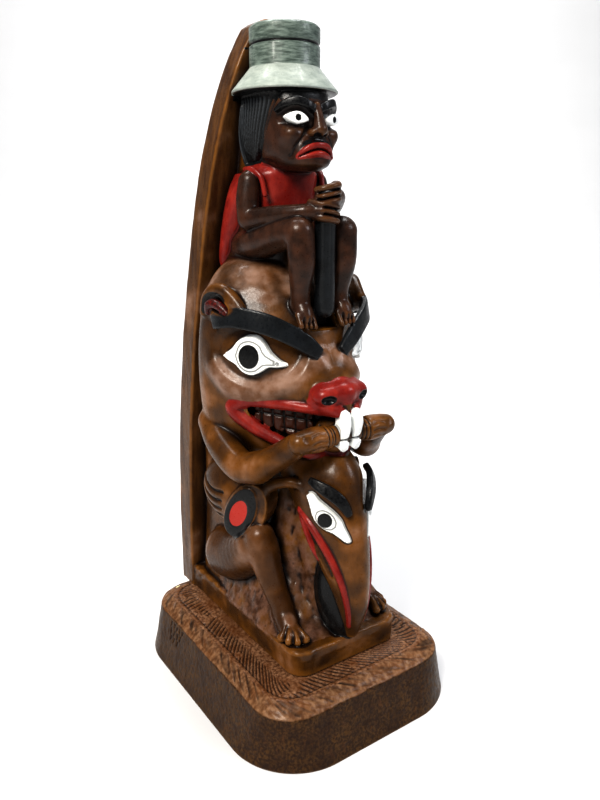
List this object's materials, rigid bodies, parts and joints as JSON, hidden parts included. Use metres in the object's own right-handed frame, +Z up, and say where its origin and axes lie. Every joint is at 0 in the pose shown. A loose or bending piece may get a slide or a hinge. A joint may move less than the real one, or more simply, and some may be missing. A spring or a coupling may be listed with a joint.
{
  "type": "totem pole",
  "caption": "Model totem pole: a man with a mint hat squats on a toothed beaver, which sits on the head of a long-beaked bird, all on a bevelled plinth.",
  "frame": {"origin": "centre of the plinth's underside", "axes": "+Z up the pole, -Y out of the carved front, +X to the figures' left hand"},
  "size_m": [0.1144, 0.1418, 0.3048],
  "materials": {
    "plinth": "satin",
    "carving": "satin"
  },
  "bodies": {
    "root": {"base": "plinth", "pole": "carving"}
  },
  "joints": []
}
